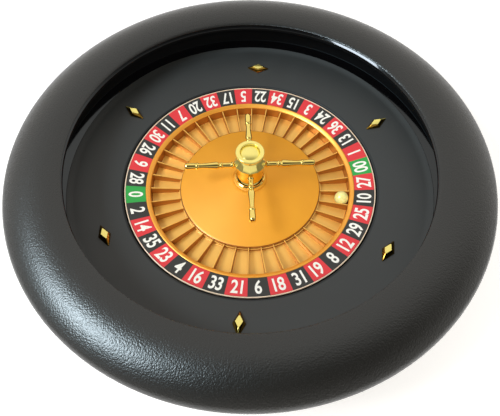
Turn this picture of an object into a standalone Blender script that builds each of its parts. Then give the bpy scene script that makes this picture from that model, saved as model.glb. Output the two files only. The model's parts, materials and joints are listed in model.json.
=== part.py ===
"""A table-top double-zero roulette wheel, built as the separate pieces it comes apart into.

The wheel stands on the XY plane with its axis on Z. The bowl (rim, ball track, apron, outer shell
and base) stands still; the rotor (number ring, pockets, cone and turret) turns on two ball bearings
over a fixed spindle. Lengths are in metres.
"""

import math

import bmesh
import bpy
from mathutils import Matrix, Vector

MM = 0.001
GAP = 0.3 * MM  # between pieces that seat on each other
WIDE_SIDES = 48  # flats round the large turned pieces
POCKET_SIDES = 76  # flats round the pieces that the pockets are made of

# Bowl
WHEEL_RADIUS = 228.6 * MM
RIM_WIDTH = 54.6 * MM
RIM_WALL = 2.6 * MM
RIM_RISE = 51.0 * MM  # inner edge of the rim above the number ring
RIM_EDGE_DROP = 12.6 * MM  # widest circle of the rim below its inner edge
SHOULDER_RADIUS = 8.2 * MM
SHOULDER_ANGLE = 54.0  # degrees up from level, where the dome hands over to the shoulder
LEDGE_ANGLE = -60.0  # degrees, where the shoulder turns in under the rim
TRACK_LIP = 7.1 * MM  # height of the upright band above the ball track
TRACK_DEPTH = 14.0 * MM  # how far the track is hollowed behind the band
TRACK_WALL = 2.4 * MM
APRON_WIDTH = 51.2 * MM
APRON_RISE = 10.8 * MM
APRON_WALL = 2.4 * MM
APRON_FILLET = 5.0 * MM
WELL_DEPTH = 27.3 * MM  # well floor below the number ring
SHELL_WALL = 3.0 * MM
SHELL_INSET = 14.6 * MM  # top of the outer shell in from the rim's widest circle
SHELL_TAPER = 34.0 * MM
PLATE_THICKNESS = 3.0 * MM
FOOT_HEIGHT = 4.0 * MM
FOOT_RADIUS = 9.5 * MM
FOOT_INSET = 36.0 * MM
NUMBER_RING_HEIGHT = 42.0 * MM  # outer edge of the number ring above the table

# Deflectors on the apron
DEFLECTOR_COUNT = 6
DEFLECTOR_LENGTH = 25.0 * MM
DEFLECTOR_WIDTH = 12.0 * MM
DEFLECTOR_HEIGHT = 4.0 * MM
DEFLECTOR_CROWN = 0.52  # flat top as a share of the foot
DEFLECTOR_FIRST = 26.5  # degrees
DEFLECTOR_PEG = 2.2 * MM
DEFLECTOR_PLACE = 0.463  # share of the apron's width out from its inner edge

# Rotor
ROTOR_GAP = 1.8 * MM
POCKET_COUNT = 38
FIRST_FRET = 3.66  # degrees
NUMBER_RING_WIDTH = 20.6 * MM
NUMBER_RING_DROP = 3.8 * MM
NUMBER_RING_WALL = 2.0 * MM
TRIM_WIDTH = 1.0 * MM
LIP_WIDTH = 4.0 * MM
LIP_DROP = 1.2 * MM
POCKET_LENGTH = 29.6 * MM
POCKET_FLOOR_DROP = 16.0 * MM
FLOOR_WALL = 1.8 * MM
FRET_THICKNESS = 1.1 * MM
FRET_OUTER_HEIGHT = 9.6 * MM
FRET_INNER_HEIGHT = 5.2 * MM
HOOP_WALL = 1.0 * MM
CONE_EDGE_DROP = 10.0 * MM
CONE_TOP_RISE = 2.4 * MM
CONE_WALL = 2.0 * MM
PAN_WALL = 2.4 * MM

# Spindle, bearings and hub
SPINDLE_RADIUS = 3.95 * MM
SPINDLE_FLANGE_RADIUS = 17.0 * MM
SPINDLE_FLANGE = 3.0 * MM
RACE_WALL = 1.9 * MM
BEARING_SPACE = 3.1 * MM  # between the two races of a bearing
BEARING_WIDTH = 7.0 * MM
BEARING_SPREAD = 14.0 * MM  # foot of the lower bearing to foot of the upper one
BEARING_BALLS = 7
HUB_WALL = 4.7 * MM
HUB_FLANGE_RADIUS = 30.0 * MM

# Turret and spokes
TURRET_FOOT_RADIUS = 17.2 * MM
TURRET_WAIST_RADIUS = 12.2 * MM
TURRET_HEAD_RADIUS = 15.4 * MM
TURRET_HEAD_HEIGHT = 12.6 * MM
TURRET_COLUMN_HEIGHT = 26.2 * MM
TURRET_BORE = 9.0 * MM
TOP_RING_RADIUS = 13.8 * MM
TOP_RING_BORE = 9.4 * MM
TOP_RING_HEIGHT = 3.9 * MM
HEAD_FACETS = 12
SPOKE_COUNT = 4
SPOKE_FIRST = 2.2  # degrees
SPOKE_REACH = 64.0 * MM
SPOKE_RADIUS = 2.4 * MM
SPOKE_HEIGHT = 22.6 * MM  # above the turret's foot

# Ball
BALL_RADIUS = 7.1 * MM
BALL_POCKET = -1.5  # pockets round from the first fret

# Places worked out from the sizes
ring_z = NUMBER_RING_HEIGHT
plate_z = FOOT_HEIGHT + GAP
plate_top = plate_z + PLATE_THICKNESS
rim_inner = WHEEL_RADIUS - RIM_WIDTH
rim_edge_z = ring_z + RIM_RISE
widest_z = rim_edge_z - RIM_EDGE_DROP
apron_outer = rim_inner + 6.5 * MM
apron_inner = apron_outer - APRON_WIDTH
apron_inner_z = ring_z + 0.5 * MM
apron_outer_z = apron_inner_z + APRON_RISE + 2.0 * MM
well_top = ring_z - WELL_DEPTH
well_bottom = well_top - APRON_WALL
shell_outer = WHEEL_RADIUS - SHELL_INSET
base_radius = shell_outer - SHELL_TAPER
rotor_radius = apron_inner - ROTOR_GAP
ring_inner = rotor_radius - NUMBER_RING_WIDTH
lip_inner = ring_inner - LIP_WIDTH
pocket_outer = lip_inner - 0.7 * MM
cone_radius = pocket_outer - POCKET_LENGTH
floor_top = ring_z - POCKET_FLOOR_DROP
pan_top = floor_top - FLOOR_WALL - GAP
pan_bottom = pan_top - PAN_WALL
cone_edge_z = ring_z - CONE_EDGE_DROP
cone_top_z = ring_z + CONE_TOP_RISE
spindle_foot = well_top + GAP
shoulder_z = spindle_foot + SPINDLE_FLANGE + 3.4 * MM
lower_bearing_z = shoulder_z + GAP
upper_bearing_z = lower_bearing_z + BEARING_SPREAD
bearing_top = upper_bearing_z + BEARING_WIDTH
inner_race_bore = SPINDLE_RADIUS + GAP
inner_race_radius = inner_race_bore + RACE_WALL
outer_race_bore = inner_race_radius + BEARING_SPACE
outer_race_radius = outer_race_bore + RACE_WALL
hub_bore = outer_race_radius + GAP
hub_radius = hub_bore + HUB_WALL
hub_top = bearing_top + 1.4 * MM
turret_z = max(cone_top_z, hub_top) + GAP
head_z = turret_z + TURRET_COLUMN_HEIGHT + GAP
top_ring_z = head_z + TURRET_HEAD_HEIGHT + GAP
spoke_z = turret_z + SPOKE_HEIGHT
pocket_step = 2 * math.pi / POCKET_COUNT

materials = {}


def finish(name, colour, roughness, metallic=0.0):
    """A plain shaded material for one kind of piece."""
    material = bpy.data.materials.new(name)
    material.use_nodes = True
    shader = material.node_tree.nodes["Principled BSDF"]
    shader.inputs["Base Color"].default_value = (*colour, 1.0)
    shader.inputs["Roughness"].default_value = roughness
    shader.inputs["Metallic"].default_value = metallic
    materials[name] = material


def clear_scene():
    for thing in list(bpy.data.objects):
        bpy.data.objects.remove(thing, do_unlink=True)


def put(name, mesh, material, parent=None):
    """Makes one named object from a bmesh and shades it smooth between sharp edges."""
    bmesh.ops.remove_doubles(mesh, verts=mesh.verts, dist=1e-7)
    bmesh.ops.recalc_face_normals(mesh, faces=mesh.faces)
    data = bpy.data.meshes.new(name)
    mesh.to_mesh(data)
    mesh.free()
    data.shade_smooth()
    data.set_sharp_from_angle(angle=math.radians(35))
    thing = bpy.data.objects.new(name, data)
    bpy.context.scene.collection.objects.link(thing)
    if material:
        data.materials.append(materials[material])
    if parent:
        thing.parent = parent
        thing.matrix_parent_inverse = parent.matrix_world.inverted()
    return thing


def turn(outline, segments, closed=True):
    """A bmesh turned round Z from points (radius, height)."""
    mesh = bmesh.new()
    points = [mesh.verts.new((radius, 0, height)) for radius, height in outline]
    edges = [mesh.edges.new(pair) for pair in zip(points, points[1:])]
    if closed:
        edges.append(mesh.edges.new((points[-1], points[0])))
    bmesh.ops.spin(
        mesh,
        geom=points + edges,
        cent=(0, 0, 0),
        axis=(0, 0, 1),
        angle=2 * math.pi,
        steps=segments,
        use_merge=True,
    )
    return mesh


def turned(name, outline, segments, material, parent, closed=True):
    return put(name, turn(outline, segments, closed), material, parent)


def arc(centre, radius, start, end, steps):
    """Points on a round stretch of an outline, between two angles in degrees."""
    angles = [math.radians(start + (end - start) * i / steps) for i in range(steps + 1)]
    return [
        (centre[0] + radius * math.cos(a), centre[1] + radius * math.sin(a)) for a in angles
    ]


def ring(inner, outer, low, high):
    """Outline of a plain washer."""
    return [(inner, low), (outer, low), (outer, high), (inner, high)]


def on_circle(radius, angle, height=0.0):
    return Vector((radius * math.cos(angle), radius * math.sin(angle), height))


def cut(thing, cutters):
    """Cuts the cutters' shape out of a piece."""
    for guide in cutters:
        guide.hide_render = True
        guide.display_type = "WIRE"
        boolean = thing.modifiers.new("cut", "BOOLEAN")
        boolean.operation = "DIFFERENCE"
        boolean.object = guide


def round_cutters(name, radius, low, high, places, sides=8):
    """One guide object that holds an upright cylinder at each place."""
    mesh = bmesh.new()
    for x, y in places:
        bmesh.ops.create_cone(
            mesh,
            cap_ends=True,
            segments=sides,
            radius1=radius,
            radius2=radius,
            depth=high - low,
            matrix=Matrix.Translation((x, y, (low + high) / 2)),
        )
    return put(name, mesh, None)


def circle_places(radius, count, first=0.0):
    angles = [math.radians(first) + 2 * math.pi * i / count for i in range(count)]
    return [(radius * math.cos(a), radius * math.sin(a)) for a in angles]


def body_empty(name, height):
    empty = bpy.data.objects.new(name, None)
    bpy.context.scene.collection.objects.link(empty)
    empty.location = (0, 0, height)
    bpy.context.view_layer.update()
    return empty


def dome_circle():
    """Centre and radius of the dome, through the rim's inner edge and tangent to the shoulder."""
    normal = Vector((math.cos(math.radians(SHOULDER_ANGLE)), math.sin(math.radians(SHOULDER_ANGLE))))
    shoulder = Vector((WHEEL_RADIUS - SHOULDER_RADIUS, widest_z))
    meeting = shoulder + SHOULDER_RADIUS * normal
    reach = Vector((rim_inner, rim_edge_z)) - meeting
    radius = -reach.length_squared / (2 * reach.dot(normal))
    return meeting - radius * normal, radius


def dome_height(radius, under=0.0):
    """Height of the dome's face, or of the face that far under it, at a radius."""
    centre, size = dome_circle()
    return centre[1] + math.sqrt((size - under) ** 2 - (radius - centre[0]) ** 2)


def outer_rim(parent):
    centre, size = dome_circle()
    shoulder = (WHEEL_RADIUS - SHOULDER_RADIUS, widest_z)
    start = math.degrees(math.atan2(rim_edge_z - centre[1], rim_inner - centre[0]))
    ledge_z = widest_z + SHOULDER_RADIUS * math.sin(math.radians(LEDGE_ANGLE))
    ledge_in = shell_outer + GAP
    inside_start = math.degrees(
        math.acos((rim_inner + 2.0 * MM - centre[0]) / (size - RIM_WALL))
    )
    outline = [(rim_inner, rim_edge_z - 1.9 * MM)]
    outline += arc(centre, size, start, SHOULDER_ANGLE, 6)
    outline += arc(shoulder, SHOULDER_RADIUS, SHOULDER_ANGLE, LEDGE_ANGLE, 4)[1:]
    outline += [(ledge_in, ledge_z), (ledge_in, ledge_z + RIM_WALL)]
    outline += arc(shoulder, SHOULDER_RADIUS - RIM_WALL, LEDGE_ANGLE, SHOULDER_ANGLE, 2)
    outline += arc(centre, size - RIM_WALL, SHOULDER_ANGLE, inside_start, 3)[1:]
    outline += [(rim_inner + 2.0 * MM, rim_edge_z - 1.9 * MM)]
    turned("outer_rim", outline, WIDE_SIDES, "pebbled_plastic", parent)


def ball_track(parent):
    top = rim_edge_z - 1.9 * MM - GAP
    lip_low = top - TRACK_LIP
    foot = apron_outer_z + GAP
    back = rim_inner + TRACK_DEPTH
    foot_in = apron_outer + 0.5 * MM
    hollow = [
        (rim_inner, top),
        (rim_inner, lip_low),
        (rim_inner + 0.62 * TRACK_DEPTH, lip_low - 0.19 * (lip_low - foot)),
        (back, lip_low - 0.42 * (lip_low - foot)),
        (back, lip_low - 0.67 * (lip_low - foot)),
        (foot_in, foot),
    ]
    behind = [(radius + TRACK_WALL, height) for radius, height in reversed(hollow)]
    turned("ball_track", hollow + behind, WIDE_SIDES, "gloss_plastic", parent)


def apron_height(radius):
    """Height of the sloping apron at a radius."""
    flat = APRON_WIDTH - APRON_FILLET
    return apron_inner_z + APRON_RISE * (radius - apron_inner) / flat


def apron(parent):
    """Sloping face inside the track, and the upright wall of the well that the rotor turns in."""
    fillet_in = apron_outer - APRON_FILLET
    slope_drop = APRON_WALL / math.cos(math.atan2(APRON_RISE, APRON_WIDTH - APRON_FILLET))
    well_radius = apron_inner - 0.4 * MM
    outline = [
        (well_radius, well_bottom),
        (well_radius, apron_inner_z - 0.7 * MM),
        (apron_inner, apron_inner_z),
        (fillet_in, apron_height(fillet_in)),
        (apron_outer - 2.2 * MM, apron_outer_z - 1.3 * MM),
        (apron_outer, apron_outer_z),
        (apron_outer, apron_outer_z - APRON_WALL),
        (fillet_in, apron_height(fillet_in) - slope_drop),
        (well_radius + APRON_WALL, apron_inner_z - slope_drop),
        (well_radius + APRON_WALL, well_bottom),
    ]
    piece = turned("apron", outline, WIDE_SIDES, "matte_plastic", parent)
    pegs = []
    for frame in deflector_frames():
        mesh = bmesh.new()
        bmesh.ops.create_cone(
            mesh,
            cap_ends=True,
            segments=12,
            radius1=DEFLECTOR_PEG + GAP,
            radius2=DEFLECTOR_PEG + GAP,
            depth=6 * APRON_WALL,
            matrix=frame,
        )
        pegs.append(put("peg_hole_guide", mesh, None))
    cut(piece, pegs)


def spindle_plate(parent):
    """Floor of the well, standing on the base plate by a round rib, with the spindle on top."""
    edge = apron_inner - 0.4 * MM - GAP
    rib_outer, rib_inner = 28.0 * MM, 24.0 * MM
    outline = [
        (0, well_top),
        (edge, well_top),
        (edge, well_bottom),
        (rib_outer, well_bottom),
        (rib_outer, plate_top + GAP),
        (rib_inner, plate_top + GAP),
        (rib_inner, well_bottom),
        (0, well_bottom),
    ]
    piece = turned("spindle_plate", outline, WIDE_SIDES, "matte_plastic", parent, closed=False)
    holes = round_cutters(
        "spindle_hole_guide",
        1.5 * MM + GAP,
        well_bottom - 5 * MM,
        well_top + 5 * MM,
        spindle_screw_places(),
    )
    cut(piece, [holes])


def deflector_frames():
    """Frames on the apron's face: Z out of the face, X along the deflector."""
    radius = apron_inner + DEFLECTOR_PLACE * APRON_WIDTH
    slope = math.atan2(APRON_RISE, APRON_WIDTH - APRON_FILLET)
    frames = []
    for i in range(DEFLECTOR_COUNT):
        angle = math.radians(DEFLECTOR_FIRST) + 2 * math.pi * i / DEFLECTOR_COUNT
        along = Matrix.Rotation(math.pi / 2 * (i % 2), 4, "Z")
        tilt = Matrix.Rotation(-slope, 4, "Y")
        place = Matrix.Translation((radius, 0, apron_height(radius)))
        frames.append(Matrix.Rotation(angle, 4, "Z") @ place @ tilt @ along)
    return frames


def deflectors(parent):
    """Six gilt diamonds, in turn along and across the way down the apron, each on a round peg."""
    for number, frame in enumerate(deflector_frames(), 1):
        mesh = bmesh.new()
        foot = [(DEFLECTOR_LENGTH / 2, 0), (0, DEFLECTOR_WIDTH / 2)]
        foot += [(-x, -y) for x, y in foot]
        levels = ((1.0, GAP), (1.0, GAP + 0.6 * MM), (DEFLECTOR_CROWN, GAP + DEFLECTOR_HEIGHT))
        rows = [
            [mesh.verts.new((share * x, share * y, z)) for x, y in foot] for share, z in levels
        ]
        mesh.faces.new(rows[-1])
        for low, high in zip(rows, rows[1:]):
            for i in range(4):
                j = (i + 1) % 4
                mesh.faces.new((low[i], low[j], high[j], high[i]))
        peg = [
            mesh.verts.new(on_circle(DEFLECTOR_PEG, math.pi / 4 * i, GAP)) for i in range(8)
        ]
        peg_end = [mesh.verts.new(v.co - Vector((0, 0, GAP + APRON_WALL + 1.6 * MM))) for v in peg]
        mesh.faces.new(list(reversed(peg_end)))
        for i in range(8):
            j = (i + 1) % 8
            mesh.faces.new((peg_end[i], peg_end[j], peg[j], peg[i]))
        # the foot's underside, in four parts from its corners to the peg
        for i in range(4):
            ring_part = [peg[(2 * i + k) % 8] for k in range(3)]
            mesh.faces.new([rows[0][i], *ring_part, rows[0][(i + 1) % 4]])
        bmesh.ops.transform(mesh, matrix=frame, verts=mesh.verts)
        put(f"deflector_{number}", mesh, "gilt", parent)


def outer_shell(parent):
    """The tapered body under the rim, with the flange that the base plate is screwed to."""
    top_out, top_in = shell_outer, shell_outer - SHELL_WALL
    under = RIM_WALL + 1.5 * MM
    bend = widest_z - 10.4 * MM
    flange_in = base_radius - 26 * MM
    flange_low, flange_high = plate_top + GAP, plate_top + GAP + 4.0 * MM
    recess = base_radius - 5.0 * MM
    outline = [
        (recess, plate_z),
        (base_radius - 1.5 * MM, plate_z),
        (base_radius, plate_z + 1.7 * MM),
        (top_out, bend),
        (top_out, dome_height(top_out, under)),
        (top_in, dome_height(top_in, under)),
        (top_in, bend + 0.5 * MM),
        (base_radius - SHELL_WALL, flange_high),
        (flange_in, flange_high),
        (flange_in, flange_low),
        (recess, flange_low),
    ]
    piece = turned("outer_shell", outline, WIDE_SIDES, "matte_plastic", parent)
    holes = round_cutters(
        "shell_hole_guide", 1.5 * MM + GAP, plate_z, flange_high + 4 * MM, base_screw_places()
    )
    cut(piece, [holes])


def base_screw_places():
    return circle_places(base_radius - 16 * MM, 6, 30)


def spindle_screw_places():
    return circle_places(SPINDLE_FLANGE_RADIUS - 4.5 * MM, 3, 90)


def pan_screw_places():
    return circle_places(HUB_FLANGE_RADIUS - 6 * MM, 4, 45)


def base_plate(parent):
    outline = [
        (0, plate_z),
        (base_radius - 5.0 * MM - GAP, plate_z),
        (base_radius - 5.0 * MM - GAP, plate_top),
        (0, plate_top),
    ]
    piece = turned("base_plate", outline, WIDE_SIDES, "matte_plastic", parent, closed=False)
    holes = round_cutters(
        "plate_hole_guide", 1.5 * MM + GAP, plate_z - 5 * MM, plate_top + 5 * MM, base_screw_places()
    )
    cut(piece, [holes])


def screw(name, place, seat, head_down, length, parent):
    """A pan-head screw: seat is the height that the head bears on."""
    side = -1 if head_down else 1
    outline = [
        (0, -length),
        (1.5 * MM, -length),
        (1.5 * MM, GAP),
        (3.0 * MM, GAP),
        (2.6 * MM, GAP + 1.6 * MM),
        (0, GAP + 1.6 * MM),
    ]
    mesh = turn([(radius, side * height) for radius, height in outline], 8, closed=False)
    bmesh.ops.translate(mesh, vec=(*place, seat), verts=mesh.verts)
    put(name, mesh, "steel", parent)


def fasteners(parent, rotor):
    for number, place in enumerate(base_screw_places(), 1):
        screw(f"base_screw_{number}", place, plate_z, True, 6.4 * MM, parent)
    for number, place in enumerate(spindle_screw_places(), 1):
        seat = spindle_foot + SPINDLE_FLANGE
        screw(f"spindle_screw_{number}", place, seat, False, SPINDLE_FLANGE + 4.2 * MM, parent)
    for number, place in enumerate(pan_screw_places(), 1):
        screw(f"pan_screw_{number}", place, pan_bottom, True, PAN_WALL + 2.6 * MM, rotor)


def feet(parent):
    places = circle_places(base_radius - FOOT_INSET, 4, 45)
    for number, (x, y) in enumerate(places, 1):
        outline = [
            (0, 0),
            (FOOT_RADIUS - 0.6 * MM, 0),
            (FOOT_RADIUS, FOOT_HEIGHT),
            (0, FOOT_HEIGHT),
        ]
        mesh = turn(outline, 12, closed=False)
        bmesh.ops.translate(mesh, vec=(x, y, 0), verts=mesh.verts)
        put(f"foot_{number}", mesh, "rubber", parent)


def spindle(parent):
    nut_top = bearing_top + GAP + 1.0 * MM + GAP + 4.4 * MM
    outline = [
        (0, spindle_foot),
        (SPINDLE_FLANGE_RADIUS, spindle_foot),
        (SPINDLE_FLANGE_RADIUS, spindle_foot + SPINDLE_FLANGE),
        (inner_race_radius, spindle_foot + SPINDLE_FLANGE),
        (inner_race_radius, shoulder_z),
        (SPINDLE_RADIUS, shoulder_z),
        (SPINDLE_RADIUS, nut_top + 0.6 * MM),
        (SPINDLE_RADIUS - 0.8 * MM, nut_top + 1.4 * MM),
        (0, nut_top + 1.4 * MM),
    ]
    piece = turned("spindle", outline, 24, "steel", parent, closed=False)
    holes = round_cutters(
        "flange_hole_guide",
        1.5 * MM + GAP,
        spindle_foot - 2 * MM,
        spindle_foot + SPINDLE_FLANGE + 2 * MM,
        spindle_screw_places(),
    )
    cut(piece, [holes])
    washer_z = bearing_top + GAP
    turned(
        "spindle_washer",
        ring(inner_race_bore, inner_race_radius + 0.8 * MM, washer_z, washer_z + 1.0 * MM),
        20,
        "steel",
        parent,
    )
    nut_z = washer_z + 1.0 * MM + GAP
    nut_bore = inner_race_bore / math.cos(math.pi / 6)
    nut = turn(ring(nut_bore, inner_race_radius + 1.4 * MM, nut_z, nut_z + 4.4 * MM), 6)
    put("spindle_nut", nut, "steel", parent)
    spacer_low = lower_bearing_z + BEARING_WIDTH + GAP
    turned(
        "bearing_spacer",
        ring(inner_race_bore, inner_race_radius, spacer_low, upper_bearing_z - GAP),
        20,
        "steel",
        parent,
    )


def bearing(prefix, foot, fixed, turning, rolling):
    """Inner race on the spindle, outer race in the hub, and the caged balls between them."""
    middle = foot + BEARING_WIDTH / 2
    track = (inner_race_radius + outer_race_bore) / 2
    ball = BEARING_SPACE / 2 - GAP
    cage_half = 0.35 * ball
    turned(
        prefix + "_inner_race",
        ring(inner_race_bore, inner_race_radius, foot, foot + BEARING_WIDTH),
        24,
        "steel",
        fixed,
    )
    turned(
        prefix + "_outer_race",
        ring(outer_race_bore, outer_race_radius, foot, foot + BEARING_WIDTH),
        24,
        "steel",
        turning,
    )
    balls = bmesh.new()
    for x, y in circle_places(track, BEARING_BALLS):
        bmesh.ops.create_icosphere(
            balls, subdivisions=1, radius=ball, matrix=Matrix.Translation((x, y, middle))
        )
    guide = put(prefix + "_ball_guide", balls, None)
    guide.hide_render = True
    guide.display_type = "WIRE"
    outline = ring(track - cage_half, track + cage_half, middle - cage_half, middle + cage_half)
    cage = turned(prefix + "_ball_cage", outline, 2 * BEARING_BALLS, "brass", rolling)
    union = cage.modifiers.new("balls", "BOOLEAN")
    union.operation = "UNION"
    union.object = guide


def rotor_hub(rotor):
    """Plastic housing for both bearings, with the flange that carries the pan."""
    low = lower_bearing_z - 0.6 * MM
    step_low = lower_bearing_z + BEARING_WIDTH + GAP
    step_high = upper_bearing_z - GAP
    step_bore = outer_race_bore
    flange_low, flange_high = pan_top + GAP, pan_top + GAP + 3.0 * MM
    outline = [
        (hub_bore, low),
        (hub_radius, low),
        (hub_radius, flange_low),
        (HUB_FLANGE_RADIUS, flange_low),
        (HUB_FLANGE_RADIUS, flange_high),
        (hub_radius, flange_high),
        (hub_radius, hub_top),
        (hub_bore, hub_top),
        (hub_bore, step_high),
        (step_bore, step_high),
        (step_bore, step_low),
        (hub_bore, step_low),
    ]
    piece = turned("rotor_hub", outline, 32, "matte_plastic", rotor)
    holes = round_cutters(
        "hub_hole_guide",
        1.5 * MM + GAP,
        flange_low - 1 * MM,
        flange_high + 1 * MM,
        pan_screw_places(),
    )
    cut(piece, [holes])


def rotor_pan(rotor):
    """Flat black disc that everything on the rotor stands on."""
    outline = ring(hub_radius + GAP, rotor_radius - 0.6 * MM, pan_bottom, pan_top)
    piece = turned("rotor_pan", outline, WIDE_SIDES, "matte_plastic", rotor)
    holes = round_cutters(
        "pan_hole_guide", 1.5 * MM + GAP, pan_bottom - 3 * MM, pan_top + 3 * MM, pan_screw_places()
    )
    cut(piece, [holes])


def number_ring(rotor):
    """Gently dished ring for the numbers with its skirt, and the fine gilt line round it."""
    outer = rotor_radius - TRIM_WIDTH - GAP
    inner = ring_inner + GAP
    skirt_in = outer - PAN_WALL
    slope = NUMBER_RING_DROP / (outer - inner)
    outline = [
        (outer, pan_top + GAP),
        (outer, ring_z),
        (inner, ring_z - NUMBER_RING_DROP),
        (inner, ring_z - NUMBER_RING_DROP - NUMBER_RING_WALL),
        (skirt_in, ring_z - NUMBER_RING_WALL - slope * PAN_WALL),
        (skirt_in, pan_top + GAP),
    ]
    turned("number_ring", outline, POCKET_SIDES, "number_print", rotor)
    trim_in = rotor_radius - TRIM_WIDTH
    turned(
        "number_ring_trim",
        ring(trim_in, rotor_radius, ring_z - NUMBER_RING_WALL + GAP, ring_z + 0.2 * MM),
        POCKET_SIDES,
        "gold_plastic",
        rotor,
    )


def pocket_wall(rotor):
    """Gold lip inside the numbers and the upright outer wall of the pockets."""
    low = pan_top + GAP
    lip_z = ring_z - NUMBER_RING_DROP
    outline = [
        (ring_inner, low),
        (ring_inner, lip_z),
        (ring_inner - 0.5 * MM, lip_z + 0.4 * MM),
        (lip_inner, lip_z - LIP_DROP),
        (pocket_outer, lip_z - LIP_DROP - 1.2 * MM),
        (pocket_outer, low),
    ]
    turned("pocket_wall", outline, POCKET_SIDES, "gold_plastic", rotor)


def pocket_floor(rotor):
    outline = ring(
        cone_radius + GAP, pocket_outer - GAP, floor_top - FLOOR_WALL, floor_top
    )
    turned("pocket_floor", outline, POCKET_SIDES, "gold_plastic", rotor)


def fret_ring(rotor):
    """A thin hoop round the cone's skirt, with one upright fret between each two pockets."""
    low = floor_top + GAP
    inner = (cone_radius + GAP) / math.cos(pocket_step / 2)
    hoop = inner + HOOP_WALL
    tip = pocket_outer - GAP
    half = FRET_THICKNESS / 2
    root_half = math.asin(half / hoop)
    inner_top = low + FRET_INNER_HEIGHT
    outer_top = low + FRET_OUTER_HEIGHT
    mesh = bmesh.new()
    columns = []
    for i in range(POCKET_COUNT):
        middle = math.radians(FIRST_FRET) + i * pocket_step
        for angle in (middle - root_half, middle + root_half):
            corners = [(inner, low), (hoop, low), (hoop, inner_top), (inner, inner_top)]
            columns.append([mesh.verts.new(on_circle(r, angle, z)) for r, z in corners])
    for i, column in enumerate(columns):
        after = columns[(i + 1) % len(columns)]
        for a in range(4):
            b = (a + 1) % 4
            fret_root = a == 1 and i % 2 == 0
            if not fret_root:
                mesh.faces.new((column[a], after[a], after[b], column[b]))
                continue
            middle = math.radians(FIRST_FRET) + (i // 2) * pocket_step
            side = on_circle(half, middle + math.pi / 2)
            foot = on_circle(tip, middle, low)
            head = on_circle(tip, middle, outer_top)
            near, far = [
                [mesh.verts.new(foot + s * side), mesh.verts.new(head + s * side)] for s in (-1, 1)
            ]
            mesh.faces.new((near[0], far[0], far[1], near[1]))
            mesh.faces.new((column[1], near[0], near[1], column[2]))
            mesh.faces.new((after[1], after[2], far[1], far[0]))
            mesh.faces.new((column[1], after[1], far[0], near[0]))
            mesh.faces.new((column[2], near[1], far[1], after[2]))
    put("fret_ring", mesh, "gold_plastic", rotor)


def cone(rotor):
    bore = hub_radius + GAP
    low = pan_top + GAP
    skirt_in = cone_radius - CONE_WALL
    outline = [
        (cone_radius, low),
        (cone_radius, cone_edge_z - 0.5 * MM),
        (cone_radius - 0.6 * MM, cone_edge_z),
        (TURRET_FOOT_RADIUS + 2.0 * MM, cone_top_z),
        (bore, cone_top_z),
        (bore, cone_top_z - CONE_WALL),
        (TURRET_FOOT_RADIUS + 2.0 * MM, cone_top_z - CONE_WALL),
        (skirt_in, cone_edge_z - CONE_WALL),
        (skirt_in, low),
    ]
    turned("cone", outline, WIDE_SIDES, "gold_plastic", rotor)


def turret(rotor):
    """Plated column, twelve-sided head, flat ring and the domed button sunk in it."""
    height = TURRET_COLUMN_HEIGHT
    profile = [
        (TURRET_BORE, 0),
        (TURRET_FOOT_RADIUS, 0),
        (TURRET_FOOT_RADIUS, 0.05 * height),
        (TURRET_WAIST_RADIUS + 2.4 * MM, 0.09 * height),
        (TURRET_WAIST_RADIUS + 0.7 * MM, 0.19 * height),
        (TURRET_WAIST_RADIUS, 0.34 * height),
        (TURRET_WAIST_RADIUS + 0.2 * MM, 0.52 * height),
        (TURRET_WAIST_RADIUS + 0.9 * MM, 0.78 * height),
        (TURRET_WAIST_RADIUS + 1.5 * MM, height),
        (0, height),
        (0, 0.66 * height),
        (TURRET_BORE, 0.66 * height),
    ]
    outline = [(radius, turret_z + z) for radius, z in profile]
    column = turned("turret_column", outline, 24, "gilt", rotor, closed=True)
    cut(column, [spoke_socket_guide()])
    head = [
        (0, 0),
        (TURRET_HEAD_RADIUS - 1.6 * MM, 0),
        (TURRET_HEAD_RADIUS, 1.4 * MM),
        (TURRET_HEAD_RADIUS - 3.4 * MM, TURRET_HEAD_HEIGHT),
        (0, TURRET_HEAD_HEIGHT),
    ]
    outline = [(radius, head_z + z) for radius, z in head]
    turned("turret_head", outline, HEAD_FACETS, "gilt", rotor, closed=False)
    outline = [
        (TOP_RING_BORE, top_ring_z),
        (TOP_RING_RADIUS - 1.0 * MM, top_ring_z),
        (TOP_RING_RADIUS, top_ring_z + 1.2 * MM),
        (TOP_RING_RADIUS, top_ring_z + TOP_RING_HEIGHT - 0.8 * MM),
        (TOP_RING_RADIUS - 0.8 * MM, top_ring_z + TOP_RING_HEIGHT),
        (TOP_RING_BORE + 0.5 * MM, top_ring_z + TOP_RING_HEIGHT),
        (TOP_RING_BORE, top_ring_z + TOP_RING_HEIGHT - 0.5 * MM),
    ]
    turned("turret_ring", outline, 24, "gilt", rotor)
    button = TOP_RING_BORE - GAP
    dome = arc((0, 0), 1.0, 0, 90, 4)
    outline = [(0, top_ring_z), (button, top_ring_z)]
    outline += [
        (button * x if x > 0.01 else 0, top_ring_z + 0.8 * MM + 3.0 * MM * z) for x, z in dome
    ]
    turned("turret_button", outline, 24, "gilt", rotor, closed=False)


def spoke_frame(number):
    angle = math.radians(SPOKE_FIRST) + 2 * math.pi * number / SPOKE_COUNT
    lift = Matrix.Translation((0, 0, spoke_z))
    return Matrix.Rotation(angle, 4, "Z") @ lift @ Matrix.Rotation(math.pi / 2, 4, "Y")


def spoke_socket_guide():
    """Blind holes in the column for the spokes' pegs."""
    mesh = bmesh.new()
    root = TURRET_WAIST_RADIUS - 4.6 * MM
    end = TURRET_WAIST_RADIUS + 6.0 * MM
    for number in range(SPOKE_COUNT):
        bmesh.ops.create_cone(
            mesh,
            cap_ends=True,
            segments=10,
            radius1=1.6 * MM + GAP,
            radius2=1.6 * MM + GAP,
            depth=end - root,
            matrix=spoke_frame(number) @ Matrix.Translation((0, 0, (root + end) / 2)),
        )
    return put("spoke_socket_guide", mesh, None)


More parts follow.
